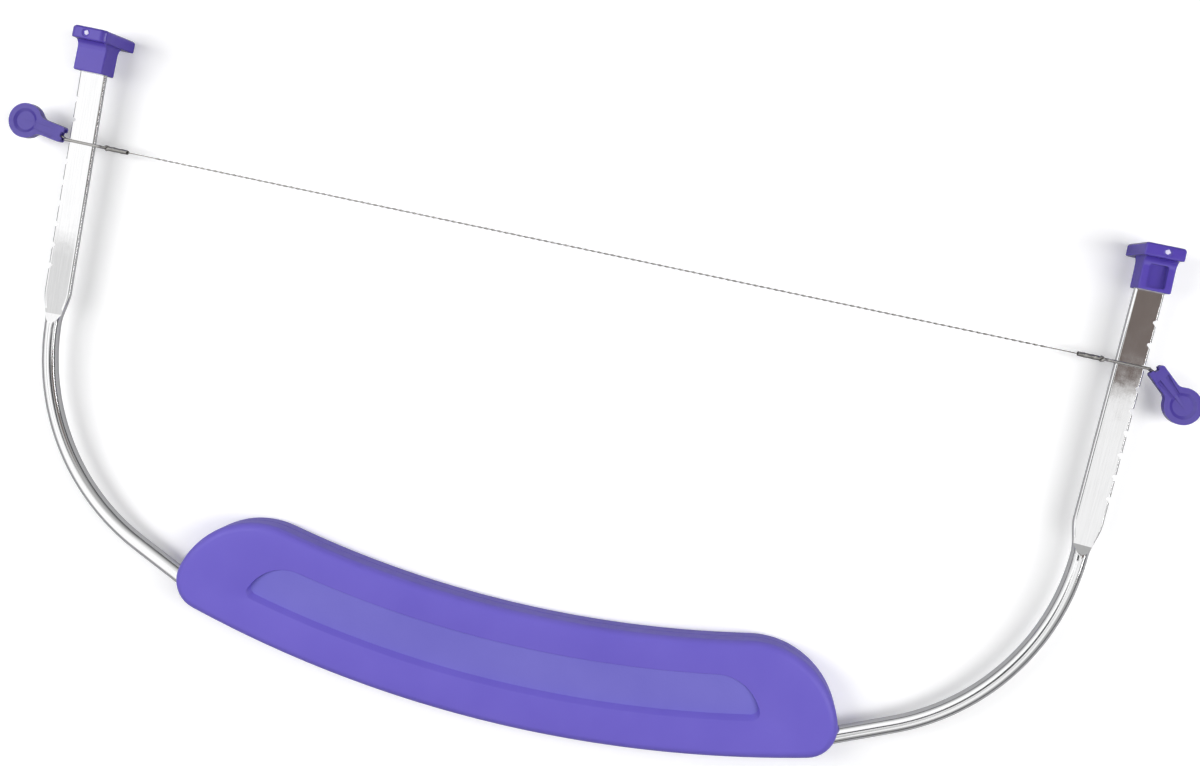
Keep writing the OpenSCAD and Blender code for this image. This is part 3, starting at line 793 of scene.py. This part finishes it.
def cut_scars(bm):
    """Cuts a dimple into both ends of the plate and leaves a torn stub in each."""
    ends = [(end, SCAR_PLACE + Vector((0, 0, MID_Z + end * PLATE_HALF_D))) for end in (1, -1)]
    for _, place in ends:
        dimple = bmesh.new()
        squashed = Matrix.Translation(place) @ Matrix.Diagonal((1, 1, DIMPLE_FLAT, 1))
        bmesh.ops.create_icosphere(dimple, subdivisions=3, radius=DIMPLE_R, matrix=squashed)
        bm = combine(bm, dimple)
    before = set(bm.faces)
    for end, place in ends:
        stub = bmesh.ops.create_icosphere(bm, subdivisions=1, radius=SCAR_R)["verts"]
        for k, vert in enumerate(stub):
            vert.co *= 0.80 + 0.20 * math.sin(5.1 * k)
            vert.co.z *= SCAR_FLAT
        bmesh.ops.translate(bm, vec=place - Vector((0, 0, end * (SCAR_R * SCAR_FLAT + 0.02))), verts=stub)
    # the stubs take material 1, painted pale as a highlight for the glint they catch
    for face in bm.faces:
        face.material_index = 0 if face in before else 1
    return bm


for side, name, node in ((1, "right_foot_moulding", "right_foot"), (-1, "left_foot_moulding", "left_foot")):
    foot = cut_scars(right_foot_mesh())
    if side < 0:
        bmesh.ops.scale(foot, vec=(-1, 1, -1), space=Matrix.Translation((0, 0, -MID_Z)), verts=foot.verts)
    piece = make_piece(foot, name, [foot_gloss, torn_stub_painted_glint], "bow", node, crease=30.0)
    soften(piece)

# %% [markdown]
# ## The cutting wire
#
# The wire that cuts is a thin flat strip, twisted so that its edges make small
# teeth. Near each ferrule it is a plain round wire. A spin with an advance is
# exactly that twist: the flat section turns about its line and moves along it.

# %% Twisted cutting wire
FERRULE_IN, FERRULE_OUT = 141.858, 147.858
SLEEVE_HOLD = 3.0  # length of the wire, and of the hook's legs, inside the ferrule
TWIST_START, PLAIN_START = 132.0, 133.2
HALF_TWIST, STEPS_PER_HALF = 2.0, 8
TEETH_HALF_W, TEETH_HALF_T = 0.275, 0.09
PLAIN_R, WIRE_SIDES = 0.16, 8


def ring_at(bm, x, y_half, z_half, sides):
    """A ring across the wire's line, flattened to a section."""
    place = Matrix.Translation((x, WIRE_Y, MID_Z)) @ Matrix.Rotation(math.radians(90), 4, "Y")
    made = bmesh.ops.create_circle(
        bm, cap_ends=False, radius=1.0, segments=sides, matrix=place @ Matrix.Diagonal((z_half, y_half, 1, 1)))
    return with_edges(made["verts"])


wire = bmesh.new()
first = ring_at(wire, -TWIST_START, TEETH_HALF_W, TEETH_HALF_T, WIRE_SIDES)
half_twists = round(2 * TWIST_START / HALF_TWIST)
steps = half_twists * STEPS_PER_HALF
last = spin(wire, first, (-TWIST_START, WIRE_Y, MID_Z), 180 * half_twists, steps, axis=(1, 0, 0),
            advance=(2 * TWIST_START / steps, 0, 0))
for ring, side in ((first, -1), (last, 1)):
    plain = ring_at(wire, side * PLAIN_START, PLAIN_R, PLAIN_R, WIRE_SIDES)
    bmesh.ops.bridge_loops(wire, edges=edges_of(ring) + edges_of(plain))
    pull(wire, plain, (side * (FERRULE_IN + SLEEVE_HOLD - PLAIN_START), 0, 0))
close_ends(wire)
wire_piece = make_piece(wire, "toothed_wire", [wire_metal], "wire", "cutting_wire", crease=40.0)
mark_grain(wire_piece, lambda p: (p.x * SLOW, p.y * 4, p.z * 4))

# %% [markdown]
# ## The ferrules
#
# A ferrule is a short thin tube that holds the end of the cutting wire and the
# two legs of the hook. It is a row of rings, flatter where the pliers bit.

# %% Crimped ferrules
FERRULE_HALF_W, FERRULE_HALF_H, FERRULE_WALL = 0.67, 1.13, 0.2
CRIMPS, CRIMP_DEPTH, CRIMP_SPREAD = (1.7, 4.3), 0.24, 0.45  # the two bites lie here, from the inner end
SLEEVE_LENGTH, SLEEVE_STEPS, SLEEVE_SIDES = 6.0, 24, 24
TURNED_IN = 0.8  # length of the inner wall at each end


def ferrule_mesh():
    """The right ferrule, as a closed sleeve."""
    bm = bmesh.new()
    loops = []
    for k in range(SLEEVE_STEPS + 1):
        s = SLEEVE_LENGTH / SLEEVE_STEPS * k
        bite = 1 - CRIMP_DEPTH * max(math.exp(-((s - c) / CRIMP_SPREAD) ** 2) for c in CRIMPS)
        half_w, half_h = FERRULE_HALF_W * (2 - bite) ** 0.5, FERRULE_HALF_H * bite
        loops.append(ring_at(bm, FERRULE_IN + s, half_w, half_h, SLEEVE_SIDES))
    inner = (FERRULE_HALF_W - FERRULE_WALL, FERRULE_HALF_H - FERRULE_WALL, SLEEVE_SIDES)
    back = [ring_at(bm, FERRULE_IN + s, *inner) for s in (SLEEVE_LENGTH, SLEEVE_LENGTH - TURNED_IN)]
    front = [ring_at(bm, FERRULE_IN + s, *inner) for s in (0.0, TURNED_IN)]
    chain = front[::-1] + loops + back
    for a, b in zip(chain, chain[1:]):
        bmesh.ops.bridge_loops(bm, edges=edges_of(a) + edges_of(b))
    close_ends(bm)
    return bm


def at_both_ends(make, name, material, node, across, crease=30.0):
    """Makes a piece at the wire's right end and, turned half round, at its left end."""
    for side in ("right", "left"):
        bm = make()
        if side == "left":
            turn_flat(bm, 180, (0, WIRE_Y, MID_Z))
        piece = make_piece(bm, f"{side}_{name}", [material], "wire", f"{side}_{node}", crease)
        mark_grain(piece, lambda p: (p.x * 0.1, p.y * across, p.z * across))


at_both_ends(ferrule_mesh, "crimped_sleeve", sleeve_metal, "ferrule", across=3)

# %% [markdown]
# ## The hooks
#
# Each hook is one piece of wire. Its two legs leave the ferrule twisted round
# each other, open round the strip, meet in a bend outside it and go on as a
# link to the tab. A poly curve with a round bevel follows such a route best,
# and it is turned into a mesh at once.


# %% Wire along a route
def wire_mesh(points, radius):
    """A closed round wire along points, as a bmesh."""
    data = bpy.data.curves.new("route", "CURVE")
    data.dimensions, data.bevel_depth, data.bevel_resolution, data.use_fill_caps = "3D", radius, 4, True
    spline = data.splines.new("POLY")
    spline.points.add(len(points) - 1)
    for target, point in zip(spline.points, points):
        target.co = (*point, 1)
    carrier = bpy.data.objects.new("route", data)
    scene.collection.objects.link(carrier)
    bm = bmesh.new()
    mesh = bpy.data.meshes.new_from_object(carrier.evaluated_get(bpy.context.evaluated_depsgraph_get()))
    bm.from_mesh(mesh)
    bpy.data.objects.remove(carrier)
    bpy.data.meshes.remove(mesh)
    return bm


# %% Hook route
HOOK_R = 0.45
LEG_Z, PAIR_Z = 1.45, 0.46
JOIN_X, STRIP_IN_X = 161.571, 150.458
BEND_R = 0.7
NECK_TURNS, TWIST_SHARE = 0.5, 0.5  # the legs twist in this share of the neck, then open
NECK_STEPS, BEND_POINTS = 24, 12
PIN_R, PIN_LENGTH = 0.55, 1.7


def hook_route():
    """Points of the hook's wire, from one leg's end round the strip to the other's."""
    leg = [(FERRULE_IN + SLEEVE_HOLD, 0.0, -PAIR_Z), (FERRULE_OUT - 0.2, 0.0, -PAIR_Z)]
    for k in range(1, NECK_STEPS + 1):
        t = k / NECK_STEPS
        angle = 2 * math.pi * NECK_TURNS * (min(t / TWIST_SHARE, 1.0) - 1)
        away = PAIR_Z + (LEG_Z - PAIR_Z) * smooth((t - TWIST_SHARE) / (1 - TWIST_SHARE))
        leg.append((FERRULE_OUT + (STRIP_IN_X - FERRULE_OUT) * t, away * math.sin(angle), away * math.cos(angle)))
    angles = [math.radians(90 - 90 / BEND_POINTS * k) for k in range(BEND_POINTS + 1)]
    bend = [(JOIN_X - BEND_R + BEND_R * math.cos(a), 0.0, LEG_Z - BEND_R + BEND_R * math.sin(a)) for a in angles]
    upper = leg + [(JOIN_X - BEND_R - 0.3, 0.0, LEG_Z)] + bend
    lower = [(x, -y, -z) for x, y, z in upper[::-1]]
    return [Vector((x, y + WIRE_Y, z + MID_Z)) for x, y, z in upper + lower]


def frame_joint(name):
    """Where a joint turns, from the frame."""
    return next(j["pos_m"] for j in frame["joints"] if j["name"] == name)


def right_hook_mesh():
    """The hook, its link and the pin that the tab swings on."""
    bm = wire_mesh(hook_route(), HOOK_R)
    pivot = Vector(frame_joint("right_tab_swing")) / MM
    link = wire_mesh([Vector((JOIN_X - 0.1, WIRE_Y, MID_Z)), pivot], HOOK_R)
    bm = combine(bm, link, "UNION")
    return combine(bm, cone(PIN_R, PIN_R, PIN_LENGTH, Matrix.Translation(pivot)), "UNION")


at_both_ends(right_hook_mesh, "wire_hook", wire_metal, "hook", across=2, crease=50.0)

# %% [markdown]
# ## The pull tabs
#
# A tab is a small moulded paddle: a disc to hold, and a forked stem that the
# hook's pin sits in. The disc is dished on both sides, two tapered grooves
# leave a rib between them that runs to the middle of the dish, and the slot
# inside the stem is a V that lets the tab swing.

# %% Tab blank
DISC_R, TAB_HALF_T, STEM_HALF_W = 5.25, 1.3, 2.4
MOUTH_X, DISC_X = -2.6, 10.0
NECK_R, MOUTH_CORNER = 2.5, 0.8


def tab_blank():
    """The tab's outline pulled to its thickness, with its pivot at the origin and its disc toward +X."""
    bm = bmesh.new()
    neck_y = STEM_HALF_W + NECK_R
    neck_x = DISC_X - math.sqrt((DISC_R + NECK_R) ** 2 - neck_y ** 2)
    neck_c, disc_c = Vector((neck_x, neck_y)), Vector((DISC_X, 0))
    tip = [bm.verts.new((DISC_X + DISC_R, 0, -TAB_HALF_T))]
    tip = verts_of(spin(bm, tip, (DISC_X, 0, -TAB_HALF_T), heading(disc_c, neck_c), 28))
    tip = verts_of(spin(bm, tip, (neck_x, neck_y, -TAB_HALF_T), -90 - heading(neck_c, disc_c), 8))
    corner_c = (MOUTH_X + MOUTH_CORNER, STEM_HALF_W - MOUTH_CORNER, -TAB_HALF_T)
    tip = bmesh.ops.extrude_vert_indiv(bm, verts=tip)["verts"]
    tip[0].co = Vector((corner_c[0], STEM_HALF_W, -TAB_HALF_T))
    tip = verts_of(spin(bm, tip, corner_c, 90, 6))
    bmesh.ops.extrude_vert_indiv(bm, verts=tip)["verts"][0].co = Vector((MOUTH_X, 0, -TAB_HALF_T))
    bmesh.ops.mirror(bm, geom=bm.verts[:] + bm.edges[:], axis="Y", merge_dist=1e-4)
    bmesh.ops.remove_doubles(bm, verts=bm.verts, dist=1e-4)
    bmesh.ops.contextual_create(bm, geom=bm.edges[:])
    pull_faces(bm, bm.faces[:], (0, 0, 2 * TAB_HALF_T))
    return bm


# %% Dishes, grooves, ribs and mouth
DISH_R, DISH_RIM, DISH_DEPTH = 3.7, 0.9, 0.55
RIB_DROP, RIB_START, RIB_STOP = 0.62, 5.0, DISC_X + 0.8
GROOVE_START, GROOVE_STOP = (0.6, 1.35), (8.2, 0.8)  # along the stem and off its middle line
RIB_THICK, GROOVE_THICK, THIN = 0.75, 0.78, 0.35
SLOT_HALF_T, SLOT_HALF_W, SLOT_BACK, SLOT_MOUTH = 0.55, 1.76, -1.1, MOUTH_X + 0.9
MOUTH_HALF_W, MOUTH_DEPTH, MOUTH_ROUND = 0.8, 0.7, 0.4
PIN_HOLE_R, PIN_HOLE_LENGTH = 0.6, 1.9


def tapered_bar(start, end, thick):
    """A four-sided bar between two places that gets thinner toward its end."""
    start, end = Vector(start), Vector(end)
    along = (end - start).to_track_quat("Z", "Y").to_matrix().to_4x4()
    place = Matrix.Translation((start + end) / 2) @ along @ Matrix.Rotation(math.radians(45), 4, "Z")
    return cone(thick, THIN, (end - start).length, place, sides=4)


def tab_mesh():
    """The whole tab, level, with its pivot at the origin."""
    bm = tab_blank()
    for side in (1, -1):
        top = side * TAB_HALF_T
        place = Matrix.Translation((DISC_X, 0, top)) @ Matrix.Diagonal((1, 1, side, 1))
        bm = combine(bm, cone(DISH_R - DISH_RIM, DISH_R + DISH_RIM, 2 * DISH_DEPTH, place, sides=48))
        rib_z = top - side * RIB_DROP
        bm = combine(bm, tapered_bar((RIB_START, 0, rib_z), (RIB_STOP, 0, rib_z), RIB_THICK), "UNION")
        for hand in (1, -1):
            (x1, y1), (x2, y2) = GROOVE_START, GROOVE_STOP
            bm = combine(bm, tapered_bar((x1, hand * y1, top), (x2, hand * y2, top), GROOVE_THICK))
    mouth = block((MOUTH_X - 1, -MOUTH_HALF_W, -3), (MOUTH_X + MOUTH_DEPTH, MOUTH_HALF_W, 3))
    bevel(mouth, [e for e in uprights(mouth) if e.verts[0].co.x > MOUTH_X], MOUTH_ROUND, 3)
    bm = combine(bm, mouth)
    bm = combine(bm, block((MOUTH_X - 1, -SLOT_HALF_W, -SLOT_HALF_T), (SLOT_BACK, SLOT_HALF_W, SLOT_HALF_T)))
    slot = bmesh.new()
    corners = [(0.0, -SLOT_HALF_T), (0.0, SLOT_HALF_T), (SLOT_MOUTH, SLOT_HALF_W), (SLOT_MOUTH, -SLOT_HALF_W)]
    slot.faces.new([slot.verts.new((x, y, -SLOT_HALF_T)) for x, y in corners])
    pull_faces(slot, slot.faces[:], (0, 0, 2 * SLOT_HALF_T))
    bm = combine(bm, slot)
    return combine(bm, cone(PIN_HOLE_R, PIN_HOLE_R, PIN_HOLE_LENGTH, Matrix()))


# %% Both tabs on their pins
LINK_BEND, RIGHT_ANGLE, LEFT_ANGLE = 23.5, 19.0, -14.0  # of the link, and of each tab from it, in degrees
for side, angle in (("right", RIGHT_ANGLE), ("left", LEFT_ANGLE)):
    tab = tab_mesh()
    turn_flat(tab, -LINK_BEND - angle + (180 if side == "left" else 0))
    bmesh.ops.translate(tab, vec=Vector(frame_joint(f"{side}_tab_swing")) / MM, verts=tab.verts)
    piece = make_piece(tab, f"{side}_pull_tab", [tab_gloss], f"{side}_tab", f"{side}_tab")
    soften(piece, 0.22)

# %% [markdown]
# ## The stage
#
# The photograph has a pure white ground with soft grey shadows. The floor is a
# pale plane, tilted by about one degree, because the grip is thinner than the
# feet are deep, so the tool really leans a little. It looks white to the camera
# through a little light of its own, and it keeps the shadows. In the steel it
# is mirrored as a mid grey: painted shade, for a table that the lamps hardly reach.

# %% Floor
FLOOR_RISE = MID_Z - GRIP_HALF_T  # from the soles to the grip's far edge
FLOOR_HALF = 2500.0
LIFT = 0.21  # strength of the floor's own light
TABLE_WHITE, MIRRORED_PAINTED_SHADE = (0.90, 0.90, 0.905), (0.42, 0.42, 0.43)

floor_bm = bmesh.new()
bmesh.ops.create_grid(floor_bm, x_segments=1, y_segments=1, size=FLOOR_HALF * MM)
lean = math.atan(FLOOR_RISE / (SOLE_Y - FAR_Y))
bmesh.ops.rotate(floor_bm, cent=(0, 0, 0), matrix=Matrix.Rotation(-lean, 3, "X"), verts=floor_bm.verts)
bmesh.ops.translate(floor_bm, vec=(0, 0, FLOOR_RISE / 2 * MM), verts=floor_bm.verts)
floor = new_object(floor_bm, "floor")
floor_bm.free()

floor_white, tree, shader = start_material("floor_white")
tree.nodes.remove(shader)
paths = add(tree, "LightPath")
glow = add(tree, "Emission", Strength=spread(tree, paths.outputs["Is Camera Ray"], 0.0, LIFT, low=0.0, high=1.0))
# mirror rays see the table in painted shade, a mid grey
table = two_colours(tree, paths.outputs["Is Glossy Ray"], TABLE_WHITE, MIRRORED_PAINTED_SHADE)
matt = add(tree, "BsdfDiffuse", Color=table)
both = add(tree, "AddShader")
tree.links.new(matt.outputs[0], both.inputs[0])
tree.links.new(glow.outputs[0], both.inputs[1])
tree.links.new(both.outputs[0], tree.nodes["Material Output"].inputs["Surface"])
floor.data.materials.append(floor_white)
print(f"floor leans {math.degrees(lean):.2f} degrees")

# %% [markdown]
# ## Light
#
# Two soft boxes stand left and right of the tool, and a pale room fills the
# shadows. Mirror rays don't see the lamps, only the room: it is white at the
# left, grey at the right and dark near the horizon, which draws the lines
# along the tube.

# %% World
WHITE = (1, 1, 1, 1)
FILL = 0.19
SKY_LOW, SKY_HIGH = 0.06, 0.60  # the mirrored room goes from dark to white between these heights
LEFT_STRENGTH, RIGHT_STRENGTH = 1.15, 0.48

world = bpy.data.worlds.new("white_room")
scene.world = world
world.use_nodes = True
tree = world.node_tree
tree.nodes.clear()
paths = add(tree, "LightPath")
parts = add(tree, "SeparateXYZ")
tree.links.new(add(tree, "TexCoord").outputs["Generated"], parts.inputs[0])
fill, backdrop = (add(tree, "Background", Color=WHITE, Strength=strength) for strength in (FILL, 1.0))
sky = add(tree, "ValToRGB", Fac=parts.outputs["Z"])
for stop, height, colour in zip(sky.color_ramp.elements, (SKY_LOW, SKY_HIGH), ((0.12, 0.12, 0.13, 1), WHITE)):
    stop.position, stop.color = height, colour
side_light = spread(tree, parts.outputs["X"], LEFT_STRENGTH, RIGHT_STRENGTH, low=-0.1, high=0.2)
mirrored = add(tree, "Background", Color=sky.outputs["Color"], Strength=side_light)
for_gloss, for_camera = add(tree, "MixShader"), add(tree, "MixShader")
for mix, ray, otherwise, chosen in (
        (for_gloss, "Is Glossy Ray", fill, mirrored), (for_camera, "Is Camera Ray", for_gloss, backdrop)):
    tree.links.new(paths.outputs[ray], mix.inputs[0])
    tree.links.new(otherwise.outputs[0], mix.inputs[1])
    tree.links.new(chosen.outputs[0], mix.inputs[2])
add(tree, "OutputWorld", Surface=for_camera.outputs[0])


# %% Soft boxes
BOX_W, BOX_H, WATTS = 0.20, 0.5, 2.2


def soft_box(name, place):
    """A rectangular lamp that looks at the middle of the tool and isn't mirrored in it."""
    data = bpy.data.lights.new(name, "AREA")
    data.shape, data.size, data.size_y, data.energy = "RECTANGLE", BOX_W, BOX_H, WATTS
    lamp = bpy.data.objects.new(name, data)
    lamp.location = place
    lamp.rotation_mode = "QUATERNION"
    lamp.rotation_quaternion = (-Vector(place)).to_track_quat("-Z", "Y")
    lamp.visible_glossy = False
    scene.collection.objects.link(lamp)


soft_box("left_soft_box", (-0.40, 0.04, 0.45))
soft_box("right_soft_box", (0.40, 0.04, 0.45))

# %% [markdown]
# The steel also mirrors what hangs over the table. A dark camera draws the
# thin dark line along the tube, its arm the dark half of the right strip, and
# a white sheet beside it the white half. A grey wall shades the root of the
# left strip, and a lamp far to the right gives the glints on the feet. All are
# plain cards that only mirror rays can see.


# %% Mirror cards
def mirror_card(name, low, high, z, colour, strength=1.0):
    """A level card over the table, seen in mirror rays alone."""
    bm = bmesh.new()
    corners = ((low[0], low[1]), (high[0], low[1]), (high[0], high[1]), (low[0], high[1]))
    bm.faces.new([bm.verts.new((x * MM, y * MM, z * MM)) for x, y in corners])
    card = new_object(bm, name)
    bm.free()
    material, tree, shader = start_material(name)
    tree.nodes.remove(shader)
    glow = add(tree, "Emission", Color=(*colour, 1), Strength=strength)
    tree.links.new(glow.outputs[0], tree.nodes["Material Output"].inputs["Surface"])
    card.data.materials.append(material)
    card.visible_camera = card.visible_diffuse = card.visible_shadow = card.visible_transmission = False


mirror_card("camera_body", (-75, -30), (120, 85), 440, (0.10, 0.10, 0.105))
mirror_card("camera_arm", (205, 42), (620, 420), 450, (0.190, 0.158, 0.145))
mirror_card("white_sheet", (205, -500), (480, 42), 450, (1.0, 1.0, 1.0))
mirror_card("grey_wall", (-450, -110), (-320, -6), 450, (0.80, 0.80, 0.80))
mirror_card("far_lamp", (900, -200), (1020, 500), 480, (1.0, 1.0, 1.0), 7.0)

# %% [markdown]
# ## Finish
#
# The view transform is plain, so colours come out as they are written.

# %% Finish
scene.view_settings.view_transform = "Standard"
